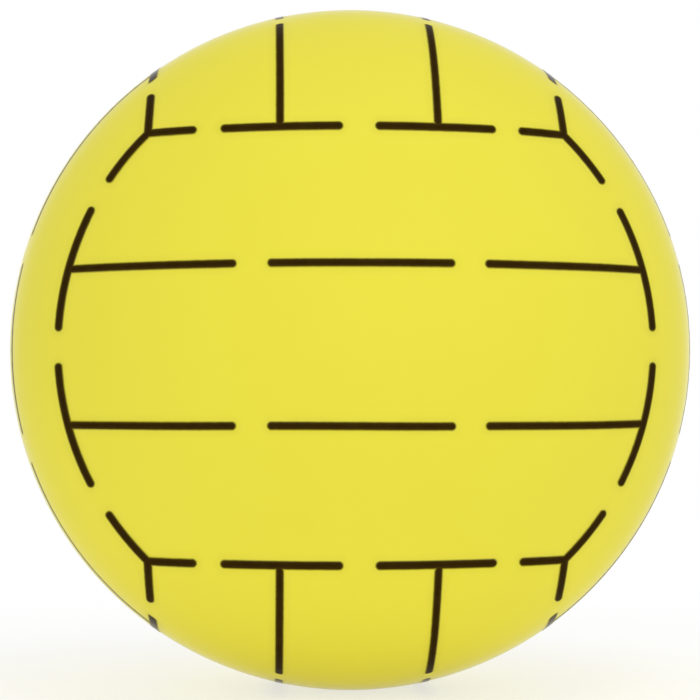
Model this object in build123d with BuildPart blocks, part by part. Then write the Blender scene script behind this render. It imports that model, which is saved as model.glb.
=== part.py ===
from build123d import *
from math import asin, degrees, sqrt
import os

os.makedirs("parts", exist_ok=True)

# A moulded rubber water polo ball, in millimetres. The origin is the ball's centre, +Z runs out
# through the valve, and -Y is the front, whose three strips run along X.

# The ball: three bonded layers round the air
ball_diameter = 220.0
cover_wall = 1.4
winding_wall = 0.6
bladder_wall = 0.7

# The painted lines, sprayed through flat stencils that are square to the ball's six faces. Widths and
# lengths are measured on the stencil, so a line comes out wider where the ball curves away from it. The
# front and back have a whole frame round three strips, with a third leg at each corner that goes on over
# the caps. The caps have two edges, and bridges stay bare.
edge_line = 2.65
divider_line = 2.4
paint_film = 0.1
middle_strip_width = 46.6
frame_rise = 0.7
corner_leg = 15.0
corner_bridge = 7.0
cap_leg = 14.0
cap_bridge = 10.5
edge_bridge = 9.4
middle_bar_length = 54.0
divider_bridge = 8.8

# The valve boot: a neck through the layers, a flange bonded inside the bladder, and a barrel
seat_recess = 0.5
lip_round = 0.4
neck_wall = 1.7
flange_width = 12.0
flange_root = 1.6
flange_rim = 0.5
barrel_wall = 2.8
barrel_length = 15.0
barrel_chamfer = 1.0

# The valve plug: a head in the boot's pocket and a ribbed stem in its bore
stem_diameter = 6.2
rib_height = 0.35
rib_pitch = 4.0
rib_count = 3
head_overhang = 1.0
head_height = 1.8
tip_overhang = 1.2
tip_chamfer = 1.0
plug_clearance = 0.05
needle_bore = 2.0
needle_bore_depth = 11.0
needle_mouth = 3.4
needle_mouth_angle = 90.0
slit_length = 2.8
slit_width = 0.12

# Layers, from outside in
ball_radius = ball_diameter / 2
winding_radius = ball_radius - cover_wall
bladder_radius = winding_radius - winding_wall
air_radius = bladder_radius - bladder_wall

# Valve, from the axis out: the plug's ribs and head, then the boot round them
stem_radius = stem_diameter / 2
bore_radius = stem_radius + rib_height + plug_clearance
head_radius = bore_radius + head_overhang
pocket_radius = head_radius + plug_clearance
neck_radius = pocket_radius + neck_wall
flange_radius = neck_radius + flange_width
barrel_radius = bore_radius + barrel_wall


def height_on(sphere_radius, radius):
    """The height of a sphere's surface at a distance from the valve's axis."""
    return sqrt(sphere_radius**2 - radius**2)


# Valve, from the top down
seat_height = height_on(ball_radius, neck_radius) - seat_recess
pocket_floor = seat_height - head_height
flange_top = height_on(air_radius, neck_radius)
flange_edge = height_on(air_radius, flange_radius)
barrel_end = flange_top - barrel_length
plug_tip = barrel_end - tip_overhang


def layer(outer_radius, wall):
    """A hollow ball with the hole that the valve's neck passes through."""
    Sphere(outer_radius)
    Sphere(outer_radius - wall, mode=Mode.SUBTRACT)
    with Locations((0, 0, outer_radius)):
        Cylinder(neck_radius, 2 * (outer_radius - flange_edge), mode=Mode.SUBTRACT)


with BuildPart() as cover:
    layer(ball_radius, cover_wall)
    fillet(cover.edges().filter_by(GeomType.CIRCLE).sort_by(Axis.Z)[-1], lip_round)

with BuildPart() as winding:
    layer(winding_radius, winding_wall)

with BuildPart() as bladder:
    layer(bladder_radius, bladder_wall)

with BuildPart() as valve_boot:
    # Flange and barrel, trimmed to the bladder's inside
    with BuildSketch(Plane.XZ):
        with BuildLine():
            Polyline(
                (0, barrel_end),
                (barrel_radius, barrel_end),
                (barrel_radius, flange_top - flange_root),
                (flange_radius, flange_edge - flange_rim),
                (flange_radius, air_radius),
                (0, air_radius),
                close=True,
            )
        make_face()
    revolve(axis=Axis.Z)
    Sphere(air_radius, mode=Mode.INTERSECT)
    chamfer(valve_boot.edges().group_by(Axis.Z)[0], barrel_chamfer)
    with BuildSketch(Plane.XY.offset(flange_top - flange_root)):
        Circle(neck_radius)
    extrude(amount=seat_height - flange_top + flange_root)
    with Locations((0, 0, seat_height)):
        CounterBoreHole(bore_radius, pocket_radius, head_height)

with BuildPart() as valve_plug:
    with BuildSketch(Plane.XY.offset(plug_tip)):
        Circle(stem_radius)
    extrude(amount=pocket_floor - plug_tip)
    chamfer(valve_plug.edges().group_by(Axis.Z)[0], tip_chamfer)
    with BuildSketch(Plane.XY.offset(pocket_floor)):
        Circle(head_radius)
    extrude(amount=head_height)
    # Sealing ribs: half of an octagon stands out of the stem
    with BuildSketch(Plane.XZ):
        for rib in range(rib_count):
            with Locations((stem_radius, pocket_floor - rib_pitch * (rib + 1))):
                RegularPolygon(rib_height, 8, major_radius=False, rotation=22.5)
    revolve(axis=Axis.Z)
    # The needle's countersunk hole, and the slit below it that the air holds shut
    with Locations((0, 0, seat_height)):
        CounterSinkHole(needle_bore / 2, needle_mouth / 2, needle_bore_depth, needle_mouth_angle)
    with BuildSketch(Plane.XY.offset(plug_tip)):
        Rectangle(slit_length, slit_width)
    extrude(amount=seat_height - needle_bore_depth - plug_tip, mode=Mode.SUBTRACT)

# Each stencil's plane has X along its strips and Y across them. The frame's arcs run where a cube in
# the ball has its edges, and its straight edges lie a little further out.
front = Plane.XZ
cap = Plane.YX
side = Plane.ZY
frame_radius = ball_radius * sqrt(2 / 3)
frame_edge = ball_radius / sqrt(3) + frame_rise
corner_x = sqrt(frame_radius**2 - frame_edge**2)
cap_leg_end = frame_edge + cap_leg
cap_edge_end = sqrt(ball_radius**2 - corner_x**2 - cap_leg_end**2) - cap_bridge
divider = middle_strip_width / 2
divider_end = middle_bar_length / 2 + divider_bridge

with BuildPart() as film:
    Sphere(ball_radius + paint_film)
    Sphere(ball_radius, mode=Mode.SUBTRACT)


def bar(across, start, end, width=edge_line):
    """A straight hole with round ends along the strips, at a distance from the stencil's middle."""
    with Locations(((start + end) / 2, across)):
        SlotOverall(end - start, width)


def upright_bar(aside, low, high):
    """A straight hole with round ends across the strips, between two heights."""
    with Locations((aside, (low + high) / 2)):
        SlotOverall(high - low, edge_line, rotation=90)


def arc_bar(low, high):
    """A curved hole with round ends along the frame's arc, between two heights."""
    start = degrees(asin((low + edge_line / 2) / frame_radius))
    end = degrees(asin((high - edge_line / 2) / frame_radius))
    with BuildLine() as spine:
        CenterArc((0, 0), frame_radius, start, end - start)
    SlotArc(spine.edge(), edge_line)


def all_quarters():
    """Mirror a quarter of a stencil to the other three."""
    mirror(about=Plane.XZ)
    mirror(about=Plane.YZ)


def spray():
    """Push the stencils' holes through the ball and keep what they mark on the film, front and back."""
    extrude(amount=ball_diameter, both=True)
    add(film.part, mode=Mode.INTERSECT)


with BuildPart() as corner_marks:
    with BuildSketch(front):
        bar(frame_edge, corner_x - corner_leg, corner_x + edge_line / 2)
        arc_bar(frame_edge - corner_leg, frame_edge + edge_line / 2)
        upright_bar(corner_x, frame_edge - edge_line / 2, cap_leg_end)
        all_quarters()
    spray()

with BuildPart() as tee_marks:
    with BuildSketch(front):
        bar(frame_edge, edge_bridge / 2, corner_x - corner_leg - corner_bridge)
        arc_bar(edge_bridge / 2, frame_edge - corner_leg - corner_bridge)
        bar(divider, divider_end, sqrt(frame_radius**2 - divider**2), divider_line)
        all_quarters()
    with BuildSketch(cap):
        bar(corner_x, edge_bridge / 2, cap_edge_end)
        bar(divider, divider_end, sqrt(ball_radius**2 - frame_edge**2 - divider**2), divider_line)
        all_quarters()
    with BuildSketch(side):
        bar(divider, divider_end, sqrt(ball_radius**2 - corner_x**2 - divider**2), divider_line)
        all_quarters()
    spray()

with BuildPart() as bar_marks:
    for face in (front, cap, side):
        with BuildSketch(face):
            bar(divider, -middle_bar_length / 2, middle_bar_length / 2, divider_line)
            all_quarters()
    spray()

pieces = {
    "cover": cover,
    "winding": winding,
    "bladder": bladder,
    "valve_boot": valve_boot,
    "valve_plug": valve_plug,
    "corner_marks": corner_marks,
    "tee_marks": tee_marks,
    "bar_marks": bar_marks,
}
for name, piece in pieces.items():
    piece.part.label = name
    export_step(piece.part, f"parts/{name}.step")
    print(name, len(piece.part.solids()), "solids", round(piece.part.volume), "mm3")
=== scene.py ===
# %% [markdown]
# # A water polo ball
# The ball is one seamless rubber moulding with broken lines sprayed on it through stencils. The CAD model
# gives the exact sizes, the layers and the motion. This file gives the ball its skin, its valve, its
# finishes and a studio to be seen in. Lengths are in metres, the origin is the ball's centre, +Z runs out
# through the valve, and -Y is the side that the camera sees.

# %% Load the CAD frame
from math import asin, cos, pi, radians, sqrt

import bmesh
import bpy
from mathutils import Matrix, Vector


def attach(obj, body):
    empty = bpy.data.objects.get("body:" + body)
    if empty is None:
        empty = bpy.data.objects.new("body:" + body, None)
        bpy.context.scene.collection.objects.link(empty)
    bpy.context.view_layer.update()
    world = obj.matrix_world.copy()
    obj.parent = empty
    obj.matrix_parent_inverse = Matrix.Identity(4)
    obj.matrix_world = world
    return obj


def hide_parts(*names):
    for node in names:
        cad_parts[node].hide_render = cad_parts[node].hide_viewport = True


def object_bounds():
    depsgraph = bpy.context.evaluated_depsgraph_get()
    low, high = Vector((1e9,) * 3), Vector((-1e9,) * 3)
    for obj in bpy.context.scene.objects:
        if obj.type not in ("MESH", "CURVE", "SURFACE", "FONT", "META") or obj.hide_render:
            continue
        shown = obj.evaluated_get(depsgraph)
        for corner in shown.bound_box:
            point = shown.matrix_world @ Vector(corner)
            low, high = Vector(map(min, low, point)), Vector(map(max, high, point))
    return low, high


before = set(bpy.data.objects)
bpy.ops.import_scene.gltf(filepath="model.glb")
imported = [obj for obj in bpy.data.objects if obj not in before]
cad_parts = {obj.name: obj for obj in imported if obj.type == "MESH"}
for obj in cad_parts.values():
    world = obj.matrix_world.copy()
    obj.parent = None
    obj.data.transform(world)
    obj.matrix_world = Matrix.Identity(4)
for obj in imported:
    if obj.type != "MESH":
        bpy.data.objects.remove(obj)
cad_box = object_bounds()
scene = bpy.context.scene
scene.view_settings.view_transform = "Standard"
print("CAD nodes:", ", ".join(sorted(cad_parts)))

# %% [markdown]
# ## The camera
# A photographed ball gives its own camera away. Its outline fixes the scale, and the way that the lines
# bend on it fixes where the camera stood and how far off: about 7.6 ball radii, a touch to the left of the
# front and a touch low. The lens then follows from the outline's radius in the picture, because the ball
# fills the cone that touches it. A lens picked by eye could give the right size but never the right bend.

# %% Camera
MM = 0.001
ball_radius = 110 * MM
camera_place = Vector((-0.2369, -7.5582, -0.1085)) * ball_radius
picture_width = 700
ball_radius_in_picture = 340.1

camera_data = bpy.data.cameras.new("studio_camera")
reach = sqrt((camera_place.length / ball_radius) ** 2 - 1)
camera_data.lens = camera_data.sensor_width * ball_radius_in_picture / picture_width * reach
camera = bpy.data.objects.new("studio_camera", camera_data)
camera.location = camera_place
camera.rotation_euler = (-camera_place).to_track_quat("-Z", "Y").to_euler()
scene.collection.objects.link(camera)
scene.camera = camera
print("Camera", round(camera_place.length, 3), "m away, lens", round(camera_data.lens, 1), "mm")

# %% [markdown]
# ## Writing shaders as sums
# Every finish here is a tree of nodes. Wiring them one by one hides what they work out, so a small class
# wraps a socket and lets Python's own operators add the Math nodes. Everything that isn't plain
# arithmetic goes through one method, which takes the node's type, its settings and its sockets.


# %% Sockets
class Term:
    """A socket that takes part in Python arithmetic: each operator adds one Math node."""

    def __init__(self, tree, socket):
        self.tree = tree
        self.socket = socket

    def math(self, operation, *others):
        return self.tree.node("ShaderNodeMath", {"operation": operation}, dict(enumerate((self, *others))))

    def __add__(self, other):
        return self.math("ADD", other)

    __radd__ = __add__

    def __sub__(self, other):
        return self.math("SUBTRACT", other)

    def __rsub__(self, other):
        return self.tree.node("ShaderNodeMath", {"operation": "SUBTRACT"}, {0: other, 1: self})

    def __mul__(self, other):
        return self.math("MULTIPLY", other)

    __rmul__ = __mul__

    def __abs__(self):
        return self.math("ABSOLUTE")

    def root(self):
        return self.math("SQRT")

    def least(self, other):
        return self.math("MINIMUM", other)

    def most(self, other):
        return self.math("MAXIMUM", other)

    def fade(self, start, end):
        """1 below start, 0 above end, and a smooth fall between them."""
        settings = {"interpolation_type": "SMOOTHSTEP"}
        return self.tree.node("ShaderNodeMapRange", settings, {0: self, 1: start, 2: end, 3: 1.0, 4: 0.0})


# %% Trees
class Tree:
    """Adds nodes to one shader tree, from an empty start."""

    def __init__(self, owner):
        owner.use_nodes = True
        self.nodes = owner.node_tree.nodes
        self.links = owner.node_tree.links
        self.nodes.clear()

    def node(self, kind, settings=None, sockets=None, output=0):
        """Makes a node, sets it up, links or fills its inputs, and returns one of its outputs."""
        made = self.nodes.new(kind)
        for name, value in (settings or {}).items():
            setattr(made, name, value)
        for name, value in (sockets or {}).items():
            if isinstance(value, Term):
                self.links.new(value.socket, made.inputs[name])
            else:
                made.inputs[name].default_value = value
        return Term(self, made.outputs[output] if len(made.outputs) else None)

    def place(self):
        return self.node("ShaderNodeTexCoord", output="Object")

    def noise(self, place, scale, detail=2.0, output="Fac"):
        """Soft noise with about scale waves to the metre."""
        sockets = {"Vector": place, "Scale": scale, "Detail": detail}
        return self.node("ShaderNodeTexNoise", None, sockets, output)

    def blend(self, share, first, second):
        """A colour that goes from first to second as share goes from 0 to 1."""
        return self.node("ShaderNodeMix", {"data_type": "RGBA"}, {0: share, 6: first, 7: second}, 2)

    def wobble(self, place, scale, distance):
        """A shift of up to a distance along each axis, with about scale waves to the metre."""
        noise = self.noise(place, scale, detail=1.0, output="Color")
        mid_grey = (0.5, 0.5, 0.5)
        centred = self.node("ShaderNodeVectorMath", {"operation": "SUBTRACT"}, {0: noise, 1: mid_grey})
        times = 2 * distance
        return self.node("ShaderNodeVectorMath", {"operation": "SCALE"}, {0: centred, "Scale": times})

    def shift(self, place, by):
        return self.node("ShaderNodeVectorMath", {"operation": "ADD"}, {0: place, 1: by})

    def bump(self, height, depth, strength):
        sockets = {"Height": height, "Distance": depth, "Strength": strength}
        return self.node("ShaderNodeBump", None, sockets)


# %% Colours and finishes
def colour(red, green, blue):
    """A colour socket's value from linear red, green and blue."""
    return (red, green, blue, 1.0)


def finish(name, paint):
    """A material whose principled shader gets what paint(tree) returns for its sockets."""
    material = bpy.data.materials.new(name)
    tree = Tree(material)
    surface = tree.node("ShaderNodeBsdfPrincipled", None, paint(tree))
    tree.node("ShaderNodeOutputMaterial", None, {"Surface": surface})
    print("Finish", name, "with", len(tree.nodes), "nodes")
    return material


# %% [markdown]
# ## Floor, background and light
# The ball was photographed in even, white light, so no lamp shows as a spot on it. A pale room, soft lamps
# on all sides and a floor that glows a little, like a light table, do the same. A few strong lamps would be
# simpler, but they would give the ball a dark side. The white behind it is only what the camera and the
# reflections see. Near the ball the floor keeps some of the shadow, and further off it goes to white.

# %% Background
room_level = 0.68
pure_white = colour(1.0, 1.0, 1.0)


def seen_directly(tree):
    """1 for what the camera, a reflection or a clear body sees, 0 for light that bounces."""
    rays = ("Is Camera Ray", "Is Glossy Ray", "Is Transmission Ray")
    camera_ray, glossy_ray, clear_ray = (tree.node("ShaderNodeLightPath", output=ray) for ray in rays)
    return camera_ray.most(glossy_ray).most(clear_ray)


world = bpy.data.worlds.new("white_room")
scene.world = world
room = Tree(world)
white_level = seen_directly(room) * (1 - room_level) + room_level
room_light = room.node("ShaderNodeBackground", None, {"Color": pure_white, "Strength": white_level})
room.node("ShaderNodeOutputWorld", None, {"Surface": room_light})
print("The room lights at", room_level, "and looks white")

# %% Floor
floor_glow = 0.205
floor_paper_white = colour(0.9, 0.9, 0.9)
floor_half_size = 3.0
shadow_share = 0.45
shadow_starts_to_fade = 0.13
shadow_gone = 0.45

floor_material = bpy.data.materials.new("floor_paper")
paper = Tree(floor_material)
from_ball = paper.node("ShaderNodeVectorMath", {"operation": "LENGTH"}, {0: paper.place()}, "Value")
shadow = from_ball.fade(shadow_starts_to_fade, shadow_gone) * shadow_share
lit = paper.node("ShaderNodeBsdfDiffuse", None, {"Color": floor_paper_white})
glow = paper.node("ShaderNodeEmission", None, {"Color": pure_white, "Strength": floor_glow})
white = paper.node("ShaderNodeEmission", None, {"Color": pure_white, "Strength": 1.0})
light_table = paper.node("ShaderNodeAddShader", None, {0: lit, 1: glow})
white_share = seen_directly(paper) * (1 - shadow)
shown = paper.node("ShaderNodeMixShader", None, {0: white_share, 1: light_table, 2: white})
paper.node("ShaderNodeOutputMaterial", None, {"Surface": shown})

floor_height = cad_box[0][2]
floor_mesh = bmesh.new()
bmesh.ops.create_grid(floor_mesh, x_segments=1, y_segments=1, size=floor_half_size)
bmesh.ops.translate(floor_mesh, verts=floor_mesh.verts, vec=(0, 0, floor_height))
floor_data = bpy.data.meshes.new("studio_floor")
floor_mesh.to_mesh(floor_data)
floor_mesh.free()
floor_data.materials.append(floor_material)
floor = bpy.data.objects.new("studio_floor", floor_data)
scene.collection.objects.link(floor)
print("Floor at", round(floor_height / MM, 1), "mm")

# %% Lamps
lamps = (
    # name, place, width, power
    ("top_softbox", (0.15, -0.45, 0.80), 0.4, 1.35),
    ("front_softbox", (0.0, -1.15, 0.30), 0.6, 1.25),
    ("right_softbox", (0.85, -0.55, 0.25), 0.35, 0.35),
    ("left_softbox", (-0.90, -0.55, 0.10), 0.5, 0.45),
    ("back_softbox", (0.0, 1.20, 0.08), 0.7, 2.4),
)
for lamp_name, lamp_place, lamp_width, lamp_power in lamps:
    lamp_data = bpy.data.lights.new(lamp_name, "AREA")
    lamp_data.size = lamp_width
    lamp_data.energy = lamp_power
    lamp = bpy.data.objects.new(lamp_name, lamp_data)
    lamp.location = lamp_place
    lamp.rotation_euler = (-Vector(lamp_place)).to_track_quat("-Z", "Y").to_euler()
    scene.collection.objects.link(lamp)
    print("Lamp", lamp_name, lamp_power, "W")

# %% [markdown]
# ## The cover
# The cover is a hollow moulding, 1.4 mm thick, with a round-lipped hole for the valve. A ready-made
# sphere has no wall and no hole, so the cover is turned like a pot instead. One vertex is spun down from
# the hole to the bottom, once for the outside and once for the inside. The two arcs are joined at the lip,
# the lip is rounded, and the whole section is spun round the valve's axis.

# %% Turning and rounding
weld = 0.001 * MM
sharp_angle = radians(40)


def round_corner(section, corner, size, steps):
    """Rounds one corner of a section's line."""
    bmesh.ops.bevel(
        section,
        geom=[corner],
        offset=size,
        offset_type="OFFSET",
        affect="VERTICES",
        segments=steps,
        profile=0.5,
        material=-1,
    )


def turn(section, steps):
    """Spins a section round the valve's axis, closes its seam and poles and turns its faces outwards."""
    bmesh.ops.spin(
        section,
        geom=section.verts[:] + section.edges[:],
        cent=(0, 0, 0),
        axis=(0, 0, 1),
        dvec=(0, 0, 0),
        angle=2 * pi,
        steps=steps,
        use_merge=True,
    )
    bmesh.ops.remove_doubles(section, verts=section.verts, dist=weld)
    bmesh.ops.recalc_face_normals(section, faces=section.faces)


def piece(shape, name, body, node, material):
    """Makes an object of a finished bmesh, smooth but for its sharp edges, in place of a CAD node."""
    for face in shape.faces:
        face.smooth = True
    for edge in shape.edges:
        edge.smooth = edge.calc_face_angle(0) < sharp_angle
    mesh = bpy.data.meshes.new(name)
    shape.to_mesh(mesh)
    shape.free()
    mesh.materials.append(material)
    made = bpy.data.objects.new(name, mesh)
    scene.collection.objects.link(made)
    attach(made, body)
    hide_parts(node)
    print("Piece", name, "with", len(mesh.polygons), "faces")
    return made


# %% Cover mesh
cover_wall = 1.4 * MM
neck_radius = 6.25 * MM
lip_round = 0.4 * MM
lip_steps = 5
rings = 96
sectors = 192


def meridian(shell, radius):
    """Spins one vertex from the rim of the valve's hole to the bottom, and returns that rim vertex."""
    tilt = asin(neck_radius / radius)
    rim = shell.verts.new((neck_radius, 0, radius * cos(tilt)))
    bmesh.ops.spin(
        shell, geom=[rim], cent=(0, 0, 0), axis=(0, 1, 0), dvec=(0, 0, 0), angle=pi - tilt, steps=rings
    )
    return rim


cover = bmesh.new()
outer_rim = meridian(cover, ball_radius)
inner_rim = meridian(cover, ball_radius - cover_wall)
cover.edges.new((outer_rim, inner_rim))
round_corner(cover, outer_rim, lip_round, lip_steps)
turn(cover, sectors)
print("Cover spun to", len(cover.faces), "faces and", len(cover.verts), "points")

# %% [markdown]
# ## The stencils
# The lines are sprayed through flat stencils, square to the ball's six faces. The front and back have a
# whole frame with two straight edges and two arcs, and a third leg at each corner that goes on over the
# caps. The caps have two edges, and every face has the two dividers of its three strips. A picture of the
# lines could be wrapped round the ball, but it would blur and stretch. A distance is better: for any point
# on the ball, the shader works out how far it lies from the rim of the nearest bar, measured on the
# stencil. The ball is the same in its mirror images, so three stencils and the absolute values of the
# coordinates cover all of it. The same distance then draws the paint, its soft rim and its spray.

# %% Stencil bars
edge_line = 2.65 * MM
divider_line = 2.4 * MM
frame_rise = 0.7 * MM
frame_radius = ball_radius * sqrt(2 / 3)
frame_edge = ball_radius / sqrt(3) + frame_rise
corner_x = sqrt(frame_radius**2 - frame_edge**2)
past_corner = edge_line / 2
corner_leg = 15.0 * MM
corner_bridge = 7.0 * MM
next_bar = corner_leg + corner_bridge
cap_leg = 14.0 * MM
cap_bridge = 10.5 * MM
cap_leg_end = frame_edge + cap_leg
cap_edge_end = sqrt(ball_radius**2 - corner_x**2 - cap_leg_end**2) - cap_bridge
edge_start = 4.7 * MM
divider = 23.3 * MM
divider_half = 27.0 * MM
divider_bridge = 8.8 * MM
divider_end = divider_half + divider_bridge
middle_bar = (divider_line, divider, -divider_half, divider_half)

# A bar's width, how far it lies from the stencil's middle, and where its tips are
front_bars = (
    (edge_line, frame_edge, corner_x - corner_leg, corner_x + past_corner),
    (edge_line, frame_edge, edge_start, corner_x - next_bar),
    (divider_line, divider, divider_end, sqrt(frame_radius**2 - divider**2)),
    middle_bar,
)
front_upright_bars = ((edge_line, corner_x, frame_edge - past_corner, cap_leg_end),)
cap_bars = (
    (edge_line, corner_x, edge_start, cap_edge_end),
    (divider_line, divider, divider_end, sqrt(ball_radius**2 - frame_edge**2 - divider**2)),
    middle_bar,
)
side_bars = (
    (divider_line, divider, divider_end, sqrt(ball_radius**2 - corner_x**2 - divider**2)),
    middle_bar,
)
# The heights between which the frame's arcs run
frame_arcs = (
    (frame_edge - corner_leg, frame_edge + past_corner),
    (edge_start, frame_edge - next_bar),
)
bar_counts = [len(bars) for bars in (front_bars, front_upright_bars, cap_bars, side_bars)]
print("Bars in a quarter of each stencil:", bar_counts, "and", len(frame_arcs), "arcs")


# %% Distance from the lines
def from_bar(aside, along, first, last, width):
    """The distance from one bar's rim. Its round ends are drawn about the places first and last."""
    beyond = (first - along).most(along - last).most(0.0)
    return (aside * aside + beyond * beyond).root() - width / 2


def from_lines(tree, place):
    """The distance from the rim of the nearest bar of all stencils, below zero inside a bar."""
    split = tree.node("ShaderNodeSeparateXYZ", None, {0: place})
    x, y, z = (abs(Term(tree, socket)) for socket in split.socket.node.outputs)
    stencils = ((x, z, front_bars), (z, x, front_upright_bars), (y, x, cap_bars), (z, y, side_bars))
    distances = []
    for along, across, bars in stencils:
        for width, line, start, end in bars:
            distances.append(from_bar(across - line, along, start + width / 2, end - width / 2, width))
    from_arc = (x * x + z * z).root() - frame_radius
    along_arc = z.math("ARCTAN2", x) * frame_radius
    for low, high in frame_arcs:
        first = frame_radius * asin((low + edge_line / 2) / frame_radius)
        last = frame_radius * asin((high - edge_line / 2) / frame_radius)
        distances.append(from_bar(from_arc, along_arc, first, last, edge_line))
    nearest = distances[0]
    for distance in distances[1:]:
        nearest = nearest.least(distance)
    return nearest


# %% [markdown]
# ## Rubber and paint
# The rubber is a satin lemon yellow with no visible grain, but no moulding is perfectly even: its colour
# and gloss drift a little, and a very fine grain breaks up the reflections. The paint is a matt brown
# black. It is thick in the middle of a line and thin towards the rim, which is soft. The lines stray from
# the stencil by a fraction of a millimetre, and a faint spray lies beside them. Two flat colours with a
# sharp border would be simpler, but they would look printed. Cover and paint film share one function, so
# the spray goes on over the rim of the film without a step.

# %% Sprayed lines
ink_dark = colour(0.022, 0.010, 0.0015)
ink_thin = colour(0.080, 0.052, 0.0080)
ink_patch_scale = 220.0
ink_patch_share = 0.3
thin_rim_share = 0.5
full_paint = 1.0 * MM
rim_inside = 0.34 * MM
rim_outside = 0.42 * MM
line_stray = 0.5 * MM
line_stray_scale = 12.0
line_fray = 0.06 * MM
line_fray_scale = 500.0
spray_reach = 3.0 * MM
spray_share = 0.10
spray_scale = 60.0


def sprayed_lines(tree, place, rubber):
    """The rubber's colour with the lines on it, thick in their middle and thin towards the rim."""
    strayed = tree.shift(place, tree.wobble(place, line_stray_scale, line_stray))
    frayed = tree.shift(strayed, tree.wobble(place, line_fray_scale, line_fray))
    distance = from_lines(tree, frayed)
    solid = distance.fade(-rim_inside, rim_outside)
    spray = distance.fade(0.0, spray_reach) * tree.noise(place, spray_scale) * spray_share
    towards_rim = 1 - distance.fade(-full_paint, 0.0)
    patches = tree.noise(place, ink_patch_scale, detail=3.0)
    ink = tree.blend(ink_patch_share * patches + thin_rim_share * towards_rim, ink_dark, ink_thin)
    return tree.blend(solid.most(spray), rubber, ink)


# %% Cover and paint finishes
lemon = colour(0.842, 0.760, 0.042)
lemon_deep = colour(0.822, 0.740, 0.037)
lemon_drift_scale = 14.0
cover_roughness = 0.70
gloss_drift = 0.08
gloss_drift_scale = 30.0
grain_scale = 2200.0
grain_share = 0.25
ripple_scale = 260.0
ripple_depth = 0.02 * MM
paint_roughness = 0.55
paint_roughness_drift = 0.15
paint_grain_scale = 1500.0
paint_grain_depth = 0.03 * MM
rim_sheen = 0.18


def cover_rubber(tree):
    """Satin rubber with the lines on it, and a thin pale sheen towards the outline."""
    place = tree.place()
    rubber = tree.blend(tree.noise(place, lemon_drift_scale), lemon_deep, lemon)
    relief = grain_share * tree.noise(place, grain_scale) + tree.noise(place, ripple_scale, detail=1.0)
    return {
        "Base Color": sprayed_lines(tree, place, rubber),
        "Roughness": cover_roughness + gloss_drift * tree.noise(place, gloss_drift_scale),
        "Specular IOR Level": 0.5,
        "Sheen Weight": 1.0,
        "Sheen Roughness": rim_sheen,
        "Normal": tree.bump(relief, ripple_depth, strength=0.6),
    }


def line_paint(tree):
    """Matt paint, with bare rubber where a line has strayed from its film."""
    place = tree.place()
    grain = tree.noise(place, paint_grain_scale, detail=3.0)
    return {
        "Base Color": sprayed_lines(tree, place, lemon),
        "Roughness": paint_roughness + paint_roughness_drift * grain,
        "Specular IOR Level": 0.0,
        "Sheen Weight": 1.0,
        "Sheen Roughness": rim_sheen,
        "Normal": tree.bump(grain, paint_grain_depth, strength=0.6),
    }


def dress(node_name, material):
    """Gives a CAD node another material."""
    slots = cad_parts[node_name].data.materials
    slots.clear()
    slots.append(material)


piece(cover, "cover_skin", "ball", "cover", finish("cover_rubber", cover_rubber))
paint_finish = finish("line_paint", line_paint)
for marks in ("corner_marks", "tee_marks", "bar_marks"):
    dress(marks, paint_finish)

# %% [markdown]
# ## Black rubber, thread and talc
# Boot and plug of the valve are black rubber: matt, slightly uneven and a little grey where wax has come to
# the surface. Inside the ball lie the wound nylon thread and the black bladder, which is dusted with talc
# so that it doesn't stick to itself. One flat colour each would do for pieces so small or so well hidden,
# but the ball can be taken apart, so each gets the patches, rows or dust that it really has.

# %% Valve rubber
boot_black = colour(0.011, 0.011, 0.011)
plug_black = colour(0.019, 0.019, 0.018)
boot_roughness = 0.5
plug_roughness = 0.4
mould_roughness_drift = 0.15
bloom_grey = colour(0.045, 0.044, 0.041)
bloom_scale = 160.0
bloom_share = 0.5
bloom_range = (0.45, 0.75)
mould_grain_scale = 3000.0
mould_grain_depth = 0.03 * MM


def moulded_rubber(black, roughness):
    """A black moulding with a grey bloom in patches and a fine grain."""

    def paint_rubber(tree):
        place = tree.place()
        bloom = 1 - tree.noise(place, bloom_scale, detail=4.0).fade(*bloom_range)
        grain = tree.noise(place, mould_grain_scale)
        return {
            "Base Color": tree.blend(bloom * bloom_share, black, bloom_grey),
            "Roughness": roughness + mould_roughness_drift * grain,
            "Specular IOR Level": 0.35,
            "Normal": tree.bump(grain, mould_grain_depth, strength=0.5),
        }

    return paint_rubber


boot_finish = finish("valve_rubber", moulded_rubber(boot_black, boot_roughness))
plug_finish = finish("plug_rubber", moulded_rubber(plug_black, plug_roughness))

# %% Thread and bladder
thread_white = colour(0.78, 0.76, 0.69)
# Painted shade: the darker colour in the grooves between the rows of thread
painted_groove_shade = colour(0.42, 0.40, 0.34)
thread_roughness = 0.62
thread_roughness_drift = 0.12
thread_scale = 260.0
thread_depth = 0.15 * MM
thread_turns = ((0.0, 0.0, 0.0), (1.1, 0.3, 0.4), (0.4, 1.2, 0.9), (1.9, 0.8, 0.2))
talc = colour(0.32, 0.31, 0.29)
bladder_roughness = 0.5
talc_roughness = 0.35
talc_scale = 45.0
talc_share = 0.6
talc_range = (0.40, 0.62)
bladder_grain_scale = 1200.0
bladder_grain_depth = 0.04 * MM


def wound_thread(tree):
    """Rows of thread that cross each other in several directions, with painted shade in the grooves between
    the rows.
    """
    place = tree.place()
    layers = []
    for angles in thread_turns:
        turned = tree.node("ShaderNodeMapping", None, {"Vector": place, "Rotation": angles})
        rows = {"Vector": turned, "Scale": thread_scale, "Distortion": 0.6}
        layers.append(tree.node("ShaderNodeTexWave", None, rows))
    threads = layers[0]
    for layer in layers[1:]:
        threads = threads.most(layer)
    return {
        # The grooves between the threads get painted shade, the crests the thread's own white
        "Base Color": tree.blend(threads, painted_groove_shade, thread_white),
        "Roughness": thread_roughness + thread_roughness_drift * threads,
        "Normal": tree.bump(threads, thread_depth, strength=0.8),
    }


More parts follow.
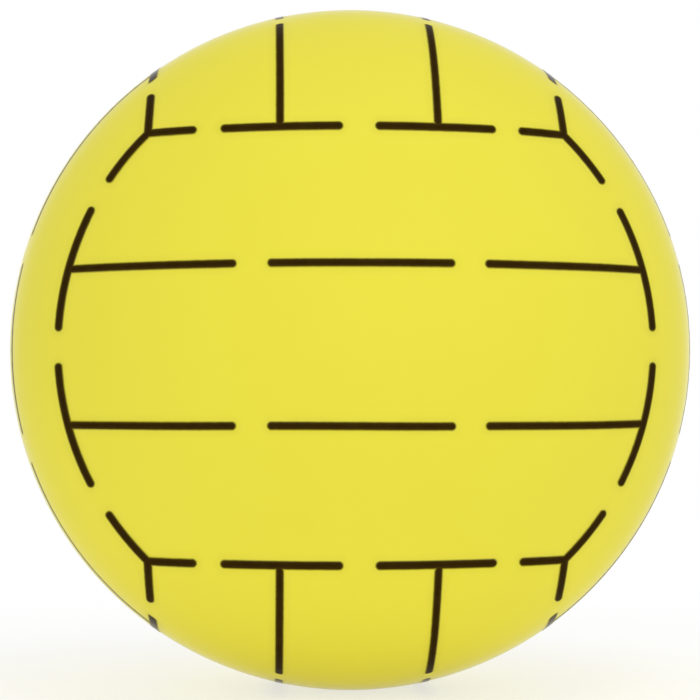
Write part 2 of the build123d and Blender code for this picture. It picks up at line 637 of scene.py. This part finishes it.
def talced_rubber(tree):
    """Black rubber with a dust of talc in clouds."""
    place = tree.place()
    dust = tree.noise(place, talc_scale, detail=6.0).fade(*talc_range)
    grain = tree.noise(place, bladder_grain_scale, detail=3.0)
    return {
        "Base Color": tree.blend(dust * talc_share, boot_black, talc),
        "Roughness": bladder_roughness + talc_roughness * dust,
        "Normal": tree.bump(grain, bladder_grain_depth, strength=0.5),
    }


dress("winding", finish("winding_thread", wound_thread))
dress("bladder", finish("bladder_rubber", talced_rubber))

# %% [markdown]
# ## The valve
# The valve sits at the top: a boot bonded into the wall, with a flange inside the bladder, and a softer
# plug with the needle's hole. Both come out of a mould, so their corners are round. They are bodies of
# revolution, so each is drawn as half a section, from corner to corner, and spun round the valve's axis.
# The CAD solids have sharp corners, which catch no light, so these pieces stand in for them. A slit is no
# body of revolution. It is cut through the plug's tip with a thin box, as a knife cuts it in the factory.

# %% Half sections
round_steps = 4
valve_sectors = 64


def half_section(corners, closed):
    """Half a section as a line through corners, each given as radius, height and rounding."""
    section = bmesh.new()
    points = [section.verts.new((radius, 0, height)) for radius, height, rounding in corners]
    neighbours = list(zip(points, points[1:]))
    if closed:
        neighbours.append((points[-1], points[0]))
    for pair in neighbours:
        section.edges.new(pair)
    for point, (radius, height, rounding) in zip(points, corners):
        if rounding:
            round_corner(section, point, rounding, round_steps)
    return section


def height_on(radius, sphere_radius):
    """The height of a sphere's surface at a distance from the valve's axis."""
    return sqrt(sphere_radius**2 - radius**2)


# %% Boot mesh
winding_wall = 0.6 * MM
bladder_wall = 0.7 * MM
seat_recess = 0.5 * MM
head_height = 1.8 * MM
pocket_radius = 4.55 * MM
bore_radius = 3.5 * MM
barrel_wall = 2.8 * MM
barrel_length = 15.0 * MM
flange_width = 12.0 * MM
flange_root = 1.6 * MM
flange_rim = 0.5 * MM
edge_round = 0.35 * MM
soft_round = 0.2 * MM
root_round = 0.8 * MM
end_round = 1.0 * MM

air_radius = ball_radius - cover_wall - winding_wall - bladder_wall
seat = height_on(neck_radius, ball_radius) - seat_recess
pocket_floor = seat - head_height
barrel_radius = bore_radius + barrel_wall
flange_top = height_on(neck_radius, air_radius)
flange_radius = neck_radius + flange_width
flange_edge = height_on(flange_radius, air_radius)
flange_middle = (neck_radius + flange_radius) / 2
barrel_end = flange_top - barrel_length

boot_corners = (
    (bore_radius, barrel_end, edge_round),
    (barrel_radius, barrel_end, end_round),
    (barrel_radius, flange_top - flange_root, root_round),
    (flange_radius, flange_edge - flange_rim, soft_round),
    (flange_radius, flange_edge, 0),
    (flange_middle, height_on(flange_middle, air_radius), 0),
    (neck_radius, flange_top, 0),
    (neck_radius, seat, edge_round),
    (pocket_radius, seat, edge_round),
    (pocket_radius, pocket_floor, 0),
    (bore_radius, pocket_floor, edge_round),
)
boot = half_section(boot_corners, closed=True)
turn(boot, valve_sectors)
piece(boot, "boot_moulding", "ball", "valve_boot", boot_finish)
print("Valve seat at", round(seat / MM, 2), "mm")

# %% Plug mesh
head_radius = 4.5 * MM
stem_radius = 3.1 * MM
rib_count = 3
rib_pitch = 4.0 * MM
rib_rise = 0.35 * MM
rib_foot = 1.6 * rib_rise
rib_crest = 0.5 * rib_rise
rib_foot_round = 0.12 * MM
rib_crest_round = 0.15 * MM
tip_overhang = 1.2 * MM
needle_radius = 1.0 * MM
mouth_radius = 1.7 * MM
needle_depth = 11.0 * MM

rib_radius = stem_radius + rib_rise
plug_tip = barrel_end - tip_overhang
mouth_depth = mouth_radius - needle_radius
needle_end = seat - needle_depth

plug_corners = [(0, plug_tip, 0), (stem_radius, plug_tip, end_round)]
for rib in range(rib_count, 0, -1):
    rib_height = pocket_floor - rib * rib_pitch
    plug_corners += [
        (stem_radius, rib_height - rib_foot, rib_foot_round),
        (rib_radius, rib_height - rib_crest, rib_crest_round),
        (rib_radius, rib_height + rib_crest, rib_crest_round),
        (stem_radius, rib_height + rib_foot, rib_foot_round),
    ]
plug_corners += [
    (stem_radius, pocket_floor, 0),
    (head_radius, pocket_floor, soft_round),
    (head_radius, seat, edge_round),
    (mouth_radius, seat, soft_round),
    (needle_radius, seat - mouth_depth, soft_round),
    (needle_radius, needle_end, soft_round),
    (0, needle_end, 0),
]
plug = half_section(plug_corners, closed=False)
turn(plug, valve_sectors)
plug_moulding = piece(plug, "plug_moulding", "plug", "valve_plug", plug_finish)
print("Plug tip at", round(plug_tip / MM, 2), "mm")

# %% Slit through the plug's tip
slit_length = 2.8 * MM
slit_width = 0.12 * MM
slit_size = (slit_length, slit_width, 2 * (needle_end - plug_tip))

knife_shape = bmesh.new()
bmesh.ops.create_cube(knife_shape, size=1.0)
bmesh.ops.scale(knife_shape, verts=knife_shape.verts, vec=slit_size)
bmesh.ops.translate(knife_shape, verts=knife_shape.verts, vec=(0, 0, plug_tip))
knife_mesh = bpy.data.meshes.new("slit_knife")
knife_shape.to_mesh(knife_mesh)
knife_shape.free()
knife = bpy.data.objects.new("slit_knife", knife_mesh)
scene.collection.objects.link(knife)
cut = plug_moulding.modifiers.new("slit", "BOOLEAN")
cut.operation = "DIFFERENCE"
cut.solver = "EXACT"
cut.object = knife
cut_plug = plug_moulding.evaluated_get(bpy.context.evaluated_depsgraph_get())
plug_moulding.data = bpy.data.meshes.new_from_object(cut_plug)
plug_moulding.modifiers.clear()
bpy.data.objects.remove(knife)
print("Plug with its slit has", len(plug_moulding.data.polygons), "faces")
